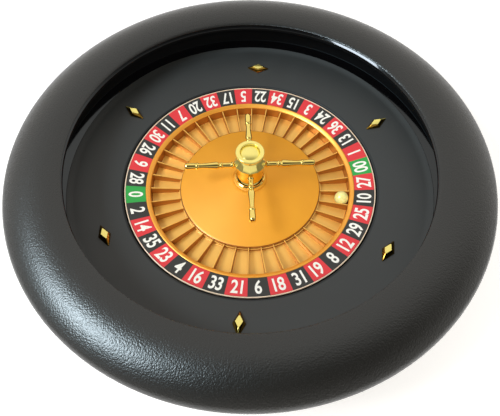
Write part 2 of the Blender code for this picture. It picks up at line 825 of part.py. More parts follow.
def spokes(rotor):
    """Turned handles: plain neck, bead, vase, bead and end knob."""
    root = TURRET_WAIST_RADIUS - 3.6 * MM
    seat = TURRET_WAIST_RADIUS + 1.6 * MM
    length = SPOKE_REACH - seat
    peg = 1.6 * MM
    profile = [
        (0.00, 0.95),
        (0.23, 0.95),
        (0.25, 1.25),
        (0.28, 1.25),
        (0.30, 0.75),
        (0.33, 0.80),
        (0.39, 1.32),
        (0.52, 1.20),
        (0.72, 0.80),
        (0.75, 1.18),
        (0.79, 1.18),
        (0.81, 0.80),
        (0.86, 1.10),
        (0.96, 1.10),
    ]
    for number in range(SPOKE_COUNT):
        outline = [(0, root), (peg, root), (peg, seat)]
        outline += [(share * SPOKE_RADIUS, seat + along * length) for along, share in profile]
        outline += [(0.7 * SPOKE_RADIUS, SPOKE_REACH), (0, SPOKE_REACH)]
        mesh = turn(outline, 8, closed=False)
        bmesh.ops.transform(mesh, matrix=spoke_frame(number), verts=mesh.verts)
        put(f"spoke_{number + 1}", mesh, "gilt", rotor)


def ball_place():
    """The ball lies against the pocket's outer wall, on the floor or, if too wide, on the frets."""
    radius = pocket_outer - BALL_RADIUS - GAP
    angle = math.radians(FIRST_FRET) + BALL_POCKET * pocket_step
    half_gap = radius * math.sin(pocket_step / 2) - FRET_THICKNESS / 2 - 0.02 * MM
    seat = floor_top + GAP + BALL_RADIUS
    if BALL_RADIUS > half_gap:
        along = (radius - cone_radius) / POCKET_LENGTH
        fret_top = floor_top + GAP + FRET_INNER_HEIGHT
        fret_top += along * (FRET_OUTER_HEIGHT - FRET_INNER_HEIGHT)
        seat = max(seat, fret_top + math.sqrt(BALL_RADIUS**2 - half_gap**2) + GAP)
    return on_circle(radius, angle, seat)


def roulette_ball():
    mesh = bmesh.new()
    place = ball_place()
    bmesh.ops.create_uvsphere(mesh, u_segments=16, v_segments=8, radius=BALL_RADIUS)
    ball = put("roulette_ball", mesh, "ivory_resin")
    ball.location = place


def main():
    clear_scene()
    finish("pebbled_plastic", (0.018, 0.019, 0.021), 0.42)
    finish("gloss_plastic", (0.006, 0.006, 0.007), 0.12)
    finish("matte_plastic", (0.045, 0.045, 0.043), 0.62)
    finish("gold_plastic", (0.80, 0.42, 0.08), 0.38, 0.35)
    finish("gilt", (0.95, 0.82, 0.30), 0.10, 1.0)
    finish("number_print", (0.50, 0.04, 0.05), 0.45)
    finish("ivory_resin", (0.90, 0.86, 0.62), 0.30)
    finish("steel", (0.56, 0.57, 0.58), 0.30, 1.0)
    finish("brass", (0.72, 0.52, 0.22), 0.30, 1.0)
    finish("rubber", (0.02, 0.02, 0.02), 0.80)

    bowl = body_empty("bowl_frame", 0.0)
    outer_rim(bowl)
    ball_track(bowl)
    apron(bowl)
    spindle_plate(bowl)
    deflectors(bowl)
    outer_shell(bowl)
    base_plate(bowl)
    feet(bowl)
    spindle(bowl)

    rotor = body_empty("rotor_axis", ring_z)
    cages = body_empty("cage_axis", ring_z)
    bearing("lower", lower_bearing_z, bowl, rotor, cages)
    bearing("upper", upper_bearing_z, bowl, rotor, cages)
    rotor_hub(rotor)
    rotor_pan(rotor)
    number_ring(rotor)
    pocket_wall(rotor)
    pocket_floor(rotor)
    fret_ring(rotor)
    cone(rotor)
    turret(rotor)
    spokes(rotor)
    fasteners(bowl, rotor)
    roulette_ball()


main()
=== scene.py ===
"""Looks of the table-top roulette wheel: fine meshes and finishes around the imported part.

The wheel stands on the XY plane with its axis on Z, and the viewer is on the -Y side. Lengths are
in metres; MM turns millimetres into them.
"""

import json
import math

import bmesh
import bpy
from mathutils import Matrix, Vector


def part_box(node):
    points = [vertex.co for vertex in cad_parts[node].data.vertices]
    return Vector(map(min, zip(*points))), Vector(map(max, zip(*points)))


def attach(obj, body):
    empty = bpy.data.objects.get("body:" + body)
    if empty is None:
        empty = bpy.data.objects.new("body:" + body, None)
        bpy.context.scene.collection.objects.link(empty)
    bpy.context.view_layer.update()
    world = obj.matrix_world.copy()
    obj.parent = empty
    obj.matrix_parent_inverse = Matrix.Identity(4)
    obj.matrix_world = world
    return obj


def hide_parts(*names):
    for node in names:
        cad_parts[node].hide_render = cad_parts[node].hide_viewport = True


MM = 0.001
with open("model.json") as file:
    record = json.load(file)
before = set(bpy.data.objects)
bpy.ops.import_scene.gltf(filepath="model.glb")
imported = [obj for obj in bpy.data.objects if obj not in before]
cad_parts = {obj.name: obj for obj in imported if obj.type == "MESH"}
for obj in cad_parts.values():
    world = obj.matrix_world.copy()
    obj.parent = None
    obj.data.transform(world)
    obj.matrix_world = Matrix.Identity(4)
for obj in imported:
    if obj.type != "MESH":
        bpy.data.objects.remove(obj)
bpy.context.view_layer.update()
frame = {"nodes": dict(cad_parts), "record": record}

# Places read from the part
_, rim_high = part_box("outer_rim")
shell_low, shell_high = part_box("outer_shell")
ring_low, ring_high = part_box("number_ring")
_, trim_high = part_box("number_ring_trim")
lip_low, lip_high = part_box("pocket_wall")
floor_low, floor_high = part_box("pocket_floor")
frets_low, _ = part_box("fret_ring")
cone_low, cone_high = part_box("cone")
apron_low, apron_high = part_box("apron")
track_low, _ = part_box("ball_track")
column_low, column_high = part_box("turret_column")
head_low, head_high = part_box("turret_head")
cap_low, cap_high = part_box("turret_ring")
button_low, button_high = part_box("turret_button")
ball_low, ball_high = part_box("roulette_ball")

RING_Z = ring_high.z
SECTORS = 38
STEP = 2 * math.pi / SECTORS
FIRST_EDGE = math.radians(3.66)  # the edge after the sector on +X
ORDER = (
    "27 00 1 13 36 24 3 15 34 22 5 17 32 20 7 11 30 26 9 28 0 2 14 35 23 4 16 33 21 6 18 31 19 8 "
    "12 29 25 10"
).split()
FINE = 228  # flats round the large turned pieces: six to a sector
RIM_WIDTH = 54.6 * MM  # from the outline to the rim's inner edge
RIM_RISE = 51 * MM  # of the rim's inner edge over the number ring
LIP_RISE = 41.8 * MM  # of the foot of the track's lip over the number ring
SHOULDER = 8.2 * MM  # radius of the rim's rounded outer shoulder
RIM_WALL = 2.4 * MM
WELL_GAP = 1.8 * MM  # between the rotor and the apron
APRON_WIDTH = 51.2 * MM
SLOPE_WIDTH = 46.2 * MM  # of the apron's straight slope
APRON_RISE = 10.8 * MM  # of that slope
DEFLECTOR_PLACE = 0.463  # of the apron's width, from the well
FIRST_DEFLECTOR = math.radians(26.5)
SPOKE_TURN = math.radians(2.2)
NUMBER_FALL = 3.8 * MM  # of the number ring towards the pockets
POCKET_WALL = 5.0 * MM  # thickness of lip and wall with its gap


# ---------------------------------------------------------------- finishes


def linear(hex_colour):
    """An sRGB hex colour as linear RGBA."""
    parts = [int(hex_colour[i : i + 2], 16) / 255 for i in (1, 3, 5)]
    return (*[p / 12.92 if p <= 0.04045 else ((p + 0.055) / 1.055) ** 2.4 for p in parts], 1.0)


def add(tree, kind, settings=None, links=None):
    """Adds one node, sets its properties, and sets or links its inputs."""
    made = tree.nodes.new("ShaderNode" + kind)
    for key, value in (settings or {}).items():
        setattr(made, key, value)
    for key, value in (links or {}).items():
        if isinstance(value, bpy.types.NodeSocket):
            tree.links.new(value, made.inputs[key])
        else:
            made.inputs[key].default_value = value
    return made


def new_finish(name, settings):
    """A material, its tree, shader and object coordinates, with the settings on the shader."""
    material = bpy.data.materials.new(name)
    material.use_nodes = True
    tree = material.node_tree
    shader = tree.nodes["Principled BSDF"]
    for key, value in settings.items():
        shader.inputs[key].default_value = value
    where = add(tree, "TexCoord").outputs["Object"]
    return material, tree, shader, where


def moulded(name, light, dark, rough, grain, bump, settings):
    """A moulded or lacquered surface: slow clouds in tone and gloss, fine grain in the relief."""
    material, tree, shader, where = new_finish(name, settings)
    cloud = add(tree, "TexNoise", None, {"Vector": where, "Scale": 1 / (26 * MM), "Detail": 3.0})
    fine = add(tree, "TexNoise", None, {"Vector": where, "Scale": 1 / grain, "Detail": 2.0})
    clouds = cloud.outputs["Fac"]
    shades = {"Factor": clouds, 6: linear(dark), 7: linear(light)}
    tone = add(tree, "Mix", {"data_type": "RGBA"}, shades)
    tree.links.new(tone.outputs[2], shader.inputs["Base Color"])
    spread = add(tree, "MapRange", None, {"Value": clouds, "To Min": rough[0], "To Max": rough[1]})
    tree.links.new(spread.outputs["Result"], shader.inputs["Roughness"])
    relief = add(
        tree, "Bump", None, {"Strength": 0.5, "Distance": bump, "Height": fine.outputs["Fac"]}
    )
    tree.links.new(relief.outputs["Normal"], shader.inputs["Normal"])
    return material


def pebbled_plastic():
    """Black plastic with a fine leather grain, whose pebbles break the highlight into sparkle."""
    material, tree, shader, where = new_finish(
        "pebbled black plastic", {"IOR": 1.62, "Specular Tint": linear("#F8FBFD")}
    )
    pebbles = add(
        tree,
        "TexVoronoi",
        {"feature": "SMOOTH_F1"},
        {"Vector": where, "Scale": 1 / (1.4 * MM), "Smoothness": 0.4},
    )
    creases = add(tree, "TexNoise", None, {"Vector": where, "Scale": 1 / (0.9 * MM), "Detail": 2.0})
    cloud = add(tree, "TexNoise", None, {"Vector": where, "Scale": 1 / (60 * MM), "Detail": 2.0})
    height = add(
        tree,
        "Math",
        {"operation": "MULTIPLY_ADD"},
        {0: creases.outputs["Fac"], 1: 0.9, 2: pebbles.outputs["Distance"]},
    )
    shades = {"Factor": cloud.outputs["Fac"], 6: linear("#141311"), 7: linear("#191815")}
    tone = add(tree, "Mix", {"data_type": "RGBA"}, shades)
    tree.links.new(tone.outputs[2], shader.inputs["Base Color"])
    spread = {"Value": creases.outputs["Fac"], "To Min": 0.24, "To Max": 0.33}
    gloss = add(tree, "MapRange", None, spread)
    tree.links.new(gloss.outputs["Result"], shader.inputs["Roughness"])
    relief = add(
        tree,
        "Bump",
        {"invert": True},
        {"Strength": 1.0, "Distance": 0.145 * MM, "Height": height.outputs[0]},
    )
    tree.links.new(relief.outputs["Normal"], shader.inputs["Normal"])
    return material


def make_finishes():
    """Every finish by its short name: tones, span of roughness, grain, relief and settings."""
    gloss = {"IOR": 1.62, "Specular Tint": linear("#F2FAFF")}
    satin = {"IOR": 1.20, "Specular Tint": linear("#C8DCE6")}
    dense = {"IOR": 1.60}
    print_gloss = {"IOR": 1.48, "Coat Weight": 0.15, "Coat Roughness": 0.2}
    gold_settings = {"Metallic": 0.40, "Coat Weight": 0.25, "Coat Roughness": 0.12}
    cone_settings = {"Metallic": 0.12, "IOR": 1.4}
    steel_settings = {"Metallic": 1.0}
    gilt_settings = {"Metallic": 0.72}
    table = {
        # wet-looking black, for the lip and the foot of the track
        "track": (
            "gloss black", "#08080A", "#050506",
            (0.05, 0.09), 0.5 * MM, 0.003 * MM, gloss,
        ),
        # the same moulding dulled in the hollow, with its reflection damped as painted shade
        "groove": (
            "track black painted in shade", "#0C0D0F", "#090A0B",
            (0.50, 0.60), 0.5 * MM, 0.01 * MM, satin,
        ),
        # charcoal with a dry, even face
        "apron": (
            "satin charcoal", "#222423", "#1F2120",
            (0.46, 0.56), 0.35 * MM, 0.02 * MM, dense,
        ),
        # the plainer black of the hidden mouldings, also the well's wall and edge as painted shade
        "shell": (
            "dull black", "#0C0C0D", "#080809",
            (0.55, 0.70), 0.5 * MM, 0.04 * MM, {},
        ),
        # printed sectors, slightly glossy
        "red": (
            "red print", "#EA343C", "#E02C35",
            (0.34, 0.44), 0.5 * MM, 0.006 * MM, print_gloss,
        ),
        "black": (
            "black print", "#2B2B28", "#242422",
            (0.34, 0.44), 0.5 * MM, 0.006 * MM, print_gloss,
        ),
        "green": (
            "green print", "#27AC48", "#1FA040",
            (0.34, 0.44), 0.5 * MM, 0.006 * MM, print_gloss,
        ),
        # opaque white ink
        "white": (
            "white print", "#FFFFF8", "#F7F7EE",
            (0.36, 0.46), 0.4 * MM, 0.004 * MM, print_gloss,
        ),
        # warm gold lacquer with a soft sheen
        "gold": (
            "gold lacquer", "#FDB445", "#F5A535",
            (0.32, 0.42), 0.6 * MM, 0.008 * MM, gold_settings,
        ),
        # the same lacquer painted darker as shade, on the upright walls, blade sides and cone edge
        "wall": (
            "gold lacquer painted in shade", "#BC752A", "#AE6A24",
            (0.34, 0.44), 0.6 * MM, 0.008 * MM, gold_settings,
        ),
        # the same lacquer painted paler as light, on the pocket floors and the blades' tops
        "floor": (
            "gold lacquer painted in light", "#FFCC66", "#FCC058",
            (0.34, 0.44), 0.6 * MM, 0.008 * MM, gold_settings,
        ),
        # satin gold that blurs what stands over it
        "cone": (
            "satin gold", "#F4AB2C", "#ECA027",
            (0.46, 0.54), 0.6 * MM, 0.006 * MM, cone_settings,
        ),
        # mirror-bright pale gold plating
        "gilt": (
            "gilt plating", "#FFF290", "#FFEC84",
            (0.06, 0.12), 0.8 * MM, 0.004 * MM, gilt_settings,
        ),
        # the same plating where it is fully metallic, so dark things round it show as brown
        "polish": (
            "polished gilt", "#FFE887", "#FFE07A",
            (0.06, 0.12), 0.8 * MM, 0.004 * MM, steel_settings,
        ),
        # bevels of the deflectors: the gilt painted darker there as shade
        "bevel": (
            "shaded gilt", "#B08A38", "#9C782E",
            (0.10, 0.18), 0.8 * MM, 0.004 * MM, steel_settings,
        ),
        # pale champagne line
        "trim": (
            "champagne gold", "#FFEBD2", "#F9E0C0",
            (0.25, 0.35), 0.5 * MM, 0.004 * MM, print_gloss,
        ),
        # turned steel of the spindle, races and screws
        "steel": (
            "turned steel", "#B4B6B8", "#A3A5A8",
            (0.22, 0.34), 0.4 * MM, 0.010 * MM, steel_settings,
        ),
        # pressed brass of the ball cages
        "brass": (
            "pressed brass", "#C9A25A", "#B78E47",
            (0.24, 0.36), 0.4 * MM, 0.010 * MM, steel_settings,
        ),
        # dry rubber
        "rubber": (
            "black rubber", "#1A1A1A", "#131313",
            (0.75, 0.9), 0.5 * MM, 0.05 * MM, {},
        ),
    }
    made = {key: moulded(*values) for key, values in table.items()}
    made["rim"] = pebbled_plastic()
    resin = {"Subsurface Weight": 0.15, "Subsurface Scale": 2 * MM, "Coat Weight": 0.3}
    made["ball"] = moulded(
        "cream resin", "#FFFAA8", "#FFF69A", (0.22, 0.30), 0.9 * MM, 0.006 * MM, resin
    )
    return made


# ---------------------------------------------------------------- shapes


def put(name, mesh, finish, body, sharp=38):
    """Makes the object, shades it, gives it its finishes and lets it ride on its body."""
    bmesh.ops.remove_doubles(mesh, verts=mesh.verts, dist=1e-7)
    bmesh.ops.recalc_face_normals(mesh, faces=mesh.faces)
    data = bpy.data.meshes.new(name)
    mesh.to_mesh(data)
    mesh.free()
    for key in finish if isinstance(finish, tuple) else (finish,):
        data.materials.append(finishes[key])
    data.shade_smooth()
    data.set_sharp_from_angle(angle=math.radians(sharp))
    thing = bpy.data.objects.new(name, data)
    bpy.context.scene.collection.objects.link(thing)
    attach(thing, body)
    return thing


def rounded(corners, steps=4):
    """An outline from (radius, height, fillet) corners, each turned with that fillet."""
    outline = []
    for i, (x, z, fillet) in enumerate(corners):
        here = Vector((x, z))
        if not fillet or i in (0, len(corners) - 1):
            outline.append((x, z))
            continue
        back = Vector(corners[i - 1][:2]) - here
        on = Vector(corners[i + 1][:2]) - here
        reach = min(fillet, 0.48 * back.length, 0.48 * on.length)
        start, end = here + reach * back.normalized(), here + reach * on.normalized()
        for k in range(steps + 1):
            t = k / steps
            spot = (1 - t) ** 2 * start + 2 * t * (1 - t) * here + t * t * end
            outline.append((spot.x, spot.y))
    return outline


def turn(outline, segments=FINE, closed=False):
    """A bmesh turned round Z from points (radius, height)."""
    mesh = bmesh.new()
    points = [mesh.verts.new((max(radius, 0), 0, height)) for radius, height in outline]
    edges = [mesh.edges.new(pair) for pair in zip(points, points[1:])]
    if closed:
        edges.append(mesh.edges.new((points[-1], points[0])))
    bmesh.ops.spin(
        mesh,
        geom=points + edges,
        cent=(0, 0, 0),
        axis=(0, 0, 1),
        angle=2 * math.pi,
        steps=segments,
        use_merge=True,
    )
    return mesh


def arc(centre, radius, start, end, steps):
    """Points of an arc between two angles in degrees."""
    angles = [math.radians(start + (end - start) * i / steps) for i in range(steps + 1)]
    return [(centre[0] + radius * math.cos(a), centre[1] + radius * math.sin(a)) for a in angles]


def spin_matrix(angle, radius=0.0, height=0.0):
    """Places a shape at a radius and height, at an angle round the wheel's axis."""
    return Matrix.Rotation(angle, 4, "Z") @ Matrix.Translation((radius, 0, height))


# ---------------------------------------------------------------- the bowl


def outer_rim():
    """One shallow dome from the inner edge to the outer shoulder, curling under to the shell."""
    radius, inner, edge_z = rim_high.x, rim_high.x - RIM_WIDTH, RING_Z + RIM_RISE
    shoulder = Vector((radius - SHOULDER, edge_z - 12.6 * MM))
    normal = Vector((math.cos(math.radians(54)), math.sin(math.radians(54))))
    meeting = shoulder + SHOULDER * normal
    reach = Vector((inner, edge_z)) - meeting
    size = -reach.length_squared / (2 * reach.dot(normal))
    centre = meeting - size * normal
    start = math.degrees(math.atan2(edge_z - centre.y, inner - centre.x))
    outline = [(inner + 1.8 * MM, edge_z - 1.3 * MM), (inner + 0.2 * MM, edge_z - 1.1 * MM)]
    outline += [(inner, edge_z - 0.8 * MM), (inner, edge_z - 0.4 * MM)]
    outline += arc(centre, size, start - 1.0, 54, 26)
    outline += arc(shoulder, SHOULDER, 54, -60, 18)[1:]
    ledge_in = shell_high.x + 0.3 * MM
    outline += [(ledge_in, outline[-1][1]), (ledge_in, outline[-1][1] + RIM_WALL)]
    outline += arc(shoulder, SHOULDER - RIM_WALL, -60, 54, 6)
    outline += arc(centre, size - RIM_WALL, 54, start - 6, 12)[1:]
    mesh = turn(outline, closed=True)
    piece = put("rim_moulding", mesh, "rim", "bowl")
    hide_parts("outer_rim")


def ball_track():
    """Glossy lip with a slanted face, hollow behind it dulled as painted shade, glossy foot to
    apron.
    """
    inner = rim_high.x - RIM_WIDTH
    foot = track_low.z
    edge = apron_high.x
    lip = RING_Z + LIP_RISE
    corners = [
        (inner + 4.0 * MM, lip + 7.0 * MM, 0),
        (inner + 2.6 * MM, lip + 6.9 * MM, 0.2 * MM),
        (inner + 0.1 * MM, lip + 4.4 * MM, 0.4 * MM),
        (inner, lip + 1.4 * MM, 1.0 * MM),
        (inner + 2.5 * MM, lip, 1.0 * MM),
        (inner + 11 * MM, lip - 4.8 * MM, 4 * MM),
        (inner + 15 * MM, lip - 12 * MM, 5 * MM),
        (inner + 15 * MM, foot + 3.6 * MM, 0.6 * MM),
        (edge + 0.4 * MM, foot - 0.6 * MM, 0),
    ]
    outline = rounded(corners, 6)
    outline += [(edge + 2.4 * MM, foot - 1.6 * MM), (inner + 15.5 * MM, foot + 1.6 * MM)]
    outline += [(inner + 17.2 * MM, foot + 4 * MM), (inner + 17.2 * MM, lip - 11 * MM)]
    outline += [(inner + 12.5 * MM, lip - 2.6 * MM), (inner + 4.0 * MM, lip + 2 * MM)]
    mesh = turn(outline, closed=True)
    # faces in the hollow take the dull black, which paints the shade under the lip
    for face in mesh.faces:
        middle = face.calc_center_median().z
        face.material_index = int(foot + 3.3 * MM < middle < lip + 4.2 * MM)
    piece = put("ball_track_moulding", mesh, ("track", "groove"), "bowl")
    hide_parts("ball_track")


def apron():
    """Sloping face and shoulder over the well; the well's wall and edge painted black as shade."""
    inner, outer = trim_high.x + WELL_GAP, apron_high.x
    start_z, foot = RING_Z + 0.5 * MM, apron_low.z
    corners = [
        (inner - 0.4 * MM, foot, 0),
        (inner - 0.4 * MM, start_z - 0.6 * MM, 0.5 * MM),
        (inner + 0.3 * MM, start_z + 0.06 * MM, 0.5 * MM),
        (inner + 1.5 * MM, start_z + 0.35 * MM, 0),
        (inner + SLOPE_WIDTH, start_z + APRON_RISE, 5 * MM),
        (outer, apron_high.z, 0),
        (outer, apron_high.z - 2.4 * MM, 0),
        (inner + SLOPE_WIDTH, start_z + APRON_RISE - 2.5 * MM, 0),
        (inner + 2.0 * MM, start_z - 2.5 * MM, 0),
        (inner + 2.0 * MM, foot, 0),
    ]
    mesh = turn(rounded(corners, 6), closed=True)
    # the well's wall and the edge over it take the dull black: painted shade of the gap round the
    # rotor
    for face in mesh.faces:
        middle = face.calc_center_median()
        dull = middle.z < RING_Z - 0.3 * MM or middle.xy.length < inner + 1.5 * MM
        face.material_index = int(dull)
    piece = put("apron_moulding", mesh, ("apron", "shell"), "bowl")
    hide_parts("apron")


def deflectors():
    """Pointed gilt bars with bevelled sides and a flat top, by turns along and across the slope."""
    reach = DEFLECTOR_PLACE * APRON_WIDTH
    radius = trim_high.x + WELL_GAP + reach
    height = RING_Z + 0.5 * MM + APRON_RISE * reach / SLOPE_WIDTH
    tilt = Matrix.Rotation(-math.atan2(APRON_RISE, SLOPE_WIDTH), 4, "Y")
    for number in range(1, 7):
        angle = FIRST_DEFLECTOR + (number - 1) * math.pi / 3
        along = Matrix.Rotation(math.pi / 2 * ((number - 1) % 2), 4, "Z")
        mesh = bmesh.new()
        rows = []
        for long, wide, z in ((12.5, 6, 0.3), (12.5, 6, 0.7), (6.15, 3.4, 4.3)):
            blunt = 0.55
            tip = long - blunt
            loop = [(tip, blunt), (0, wide), (-tip, blunt)]
            loop += [(-x, -y) for x, y in loop]
            rows.append([mesh.verts.new((x * MM, y * MM, z * MM)) for x, y in loop])
        mesh.faces.new(rows[-1])
        mesh.faces.new(list(reversed(rows[0])))
        for under, over in zip(rows, rows[1:]):
            for i in range(6):
                j = (i + 1) % 6
                mesh.faces.new((under[i], under[j], over[j], over[i]))
        bmesh.ops.bevel(
            mesh, geom=list(mesh.edges), offset=0.22 * MM, segments=2, profile=0.5, affect="EDGES"
        )
        place = spin_matrix(angle, radius, height) @ tilt @ along
        bmesh.ops.transform(mesh, matrix=place, verts=mesh.verts)
        # the sloped sides take the darker gilt: painted shade
        for face in mesh.faces:
            face.material_index = int(face.normal.z < 0.9)
        gem = put(f"deflector_diamond_{number}", mesh, ("gilt", "bevel"), "bowl", 25)
        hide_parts(f"deflector_{number}")


def outer_shell():
    """Tapered lower body, from the rim down to the base plate."""
    top, low = shell_high.x, shell_low.z
    foot = top - 34 * MM
    bend = RING_Z + 28 * MM
    corners = [
        (foot - 5 * MM, low, 0),
        (foot - 1.5 * MM, low, 0.6 * MM),
        (foot, low + 1.7 * MM, 1.5 * MM),
        (top, bend, 8 * MM),
        (top, shell_high.z, 0),
        (top - 3 * MM, shell_high.z, 0),
        (top - 3 * MM, bend, 0),
        (foot - 3 * MM, low + 7.6 * MM, 0),
        (foot - 26 * MM, low + 7.6 * MM, 0),
        (foot - 26 * MM, low + 3.6 * MM, 0),
        (foot - 5 * MM, low + 3.6 * MM, 0),
    ]
    mesh = turn(rounded(corners, 5), closed=True)
    piece = put("lower_shell", mesh, "shell", "bowl")
    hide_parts("outer_shell")


# ---------------------------------------------------------------- the rotor


def number_ring():
    """Sectors in their inks on a ring that falls towards the pockets, a dull skirt, and a line."""
    outer, inner = ring_high.x, lip_high.x + 0.15 * MM
    mesh = bmesh.new()
    columns = []
    per = FINE // SECTORS
    levels = (
        (inner, RING_Z - NUMBER_FALL - 2 * MM),
        (inner, RING_Z - NUMBER_FALL),
        (outer, RING_Z),
        (outer, RING_Z - 2 * MM),
    )
    for i in range(FINE):
        angle = FIRST_EDGE - STEP + i * STEP / per
        columns.append(
            [mesh.verts.new((r * math.cos(angle), r * math.sin(angle), z)) for r, z in levels]
        )
    for i, column in enumerate(columns):
        after = columns[(i + 1) % FINE]
        name = ORDER[i // per]
        tint = 2 if name in ("0", "00") else (i // per) % 2
        for a in range(4):
            b = (a + 1) % 4
            face = mesh.faces.new((column[a], after[a], after[b], column[b]))
            face.material_index = tint
    skirt = [
        (outer - 0.4 * MM, RING_Z - 1.9 * MM),
        (outer - 0.4 * MM, ring_low.z),
        (outer - 2.8 * MM, ring_low.z),
        (outer - 2.8 * MM, RING_Z - 1.9 * MM),
    ]
    wall = turn(skirt, closed=True)
    bmesh.ops.recalc_face_normals(wall, faces=wall.faces)
    for face in wall.faces:
        face.material_index = 3
    data = bpy.data.meshes.new("skirt")
    wall.to_mesh(data)
    wall.free()
    mesh.from_mesh(data)
    inks = ("red", "black", "green", "shell")
    piece = put("number_sectors", mesh, inks, "rotor")
    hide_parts("number_ring")
    trim = rounded(
        [
            (trim_high.x - 1.0 * MM, RING_Z - 1.4 * MM, 0),
            (trim_high.x - 1.0 * MM, trim_high.z, 0.3 * MM),
            (trim_high.x, trim_high.z, 0.4 * MM),
            (trim_high.x, RING_Z - 1.7 * MM, 0),
        ]
    )
    piece = put("number_ring_line", turn(trim, closed=True), "trim", "rotor")
    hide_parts("number_ring_trim")


def digit_mesh(text, stretch):
    """Bold narrow figures as a thin plate of ink, centred on their own origin."""
    curve = bpy.data.curves.new("figures", "FONT")
    curve.body = text
    curve.size = 1.0
    curve.offset = 0.022
    curve.extrude = 0.001
    curve.resolution_u = 4
    curve.space_character = 0.94
    guide = bpy.data.objects.new("figures", curve)
    bpy.context.scene.collection.objects.link(guide)
    graph = bpy.context.evaluated_depsgraph_get()
    data = bpy.data.meshes.new_from_object(guide.evaluated_get(graph))
    bpy.data.objects.remove(guide)
    points = [v.co for v in data.vertices]
    low = Vector([min(p[i] for p in points) for i in range(3)])
    high = Vector([max(p[i] for p in points) for i in range(3)])
    data.transform(Matrix.Translation(-(low + high) / 2))
    data.transform(Matrix.Diagonal((*stretch, 1)))
    return data, high - low


def numbers():
    """White figures that read from outside the wheel, laid on the fall of the ring."""
    _, size = digit_mesh("30", (1, 1, 1))
    stretch = (12.9 * MM / size.x, 14.3 * MM / size.y, 0.04 * MM / size.z)
    radius = lip_high.x + 0.50 * (ring_high.x - lip_high.x)
    slope = NUMBER_FALL / (ring_high.x - lip_high.x - 0.15 * MM)
    mesh = bmesh.new()
    for i, text in enumerate(ORDER):
        data, _ = digit_mesh(text, stretch)
        place = spin_matrix(FIRST_EDGE - STEP / 2 + i * STEP, radius)
        data.transform(place @ Matrix.Rotation(math.pi / 2, 4, "Z"))
        mesh.from_mesh(data)
    for vert in mesh.verts:
        vert.co.z += RING_Z - slope * (ring_high.x - vert.co.xy.length) + 0.03 * MM
    put("printed_numbers", mesh, "white", "rotor")


def pocket_wall():
    """Sloping gold lip, and the pockets' upright wall under it, painted darker as shade."""
    inner, outer = lip_high.x - 4.7 * MM, lip_high.x
    low = lip_low.z
    corners = [
        (outer, low, 0),
        (outer, RING_Z - 3.6 * MM, 0.5 * MM),
        (outer - 1.2 * MM, RING_Z - 3.4 * MM, 0.5 * MM),
        (inner + 0.9 * MM, RING_Z - 5.0 * MM, 0.6 * MM),
        (inner, RING_Z - 6.0 * MM, 0.8 * MM),
        (inner, floor_high.z + 1.6 * MM, 0),
        (inner - 0.28 * MM, floor_high.z + 0.1 * MM, 0),
        (inner, low, 0),
    ]
    mesh = turn(rounded(corners, 5), closed=True)
    # the low faces of the wall take the darker lacquer: painted shade
    for face in mesh.faces:
        face.material_index = int(face.calc_center_median().z < RING_Z - 6.2 * MM)
    piece = put("pocket_lip_and_wall", mesh, ("gold", "wall"), "rotor")
    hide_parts("pocket_wall")


def pocket_floor():
    """The pockets' floor in a paler lacquer, painted light, turned up a little at both edges."""
    outer, inner = lip_high.x - POCKET_WALL, cone_high.x + 0.3 * MM
    top = floor_high.z
    corners = [
        (inner, floor_low.z, 0),
        (inner, top + 0.2 * MM, 0.4 * MM),
        (inner + 1.2 * MM, top - 0.2 * MM, 0.8 * MM),
        (outer - 1.2 * MM, top - 0.1 * MM, 0.8 * MM),
        (outer, top + 0.2 * MM, 0.4 * MM),
        (outer, floor_low.z, 0),
    ]
    mesh = turn(rounded(corners, 4), closed=True)
    piece = put("pocket_floor_ring", mesh, "floor", "rotor")
    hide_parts("pocket_floor")


def frets():
    """Thin upright blades, each higher at the outer wall and softly rounded along its top."""
    low = frets_low.z
    inner, outer = cone_high.x + 0.3 * MM, lip_high.x - POCKET_WALL
    mesh = bmesh.new()
    section = [(inner, low), (inner + 0.9 * MM, low)]
    section += [(radius, height + 3 * MM) for radius, height in reversed(section)]
    hoop = turn(section, FINE, True)
    data = bpy.data.meshes.new("hoop")
    hoop.to_mesh(data)
    hoop.free()
    mesh.from_mesh(data)
    stations = 10
    for i in range(SECTORS):
        place = Matrix.Rotation(FIRST_EDGE + i * STEP, 4, "Z")
        rows = []
        for k in range(stations + 1):
            t = k / stations
            x = inner + t * (outer - inner)
            top = low + (5.2 + 4.4 * t) * MM
            half = (0.50 + 0.10 * t) * MM
            loop = [(-half * 1.25, low), (-half, low + 0.8 * MM), (-half, top - 0.4 * MM)]
            loop += [(-half * 0.6, top), (half * 0.6, top)]
            loop += [(half, top - 0.4 * MM), (half, low + 0.8 * MM), (half * 1.25, low)]
            rows.append([mesh.verts.new(place @ Vector((x, y, z))) for y, z in loop])
        for a, b in zip(rows, rows[1:]):
            for m in range(8):
                n = (m + 1) % 8
                mesh.faces.new((a[m], a[n], b[n], b[m]))
        mesh.faces.new(rows[0])
        mesh.faces.new(list(reversed(rows[-1])))
    bmesh.ops.recalc_face_normals(mesh, faces=mesh.faces)
    # blade sides take the darker lacquer as painted shade, the tops the paler one as painted light
    for face in mesh.faces:
        face.material_index = int(face.normal.z > 0.3)
    piece = put("pocket_frets", mesh, ("wall", "floor"), "rotor")
    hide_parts("fret_ring")


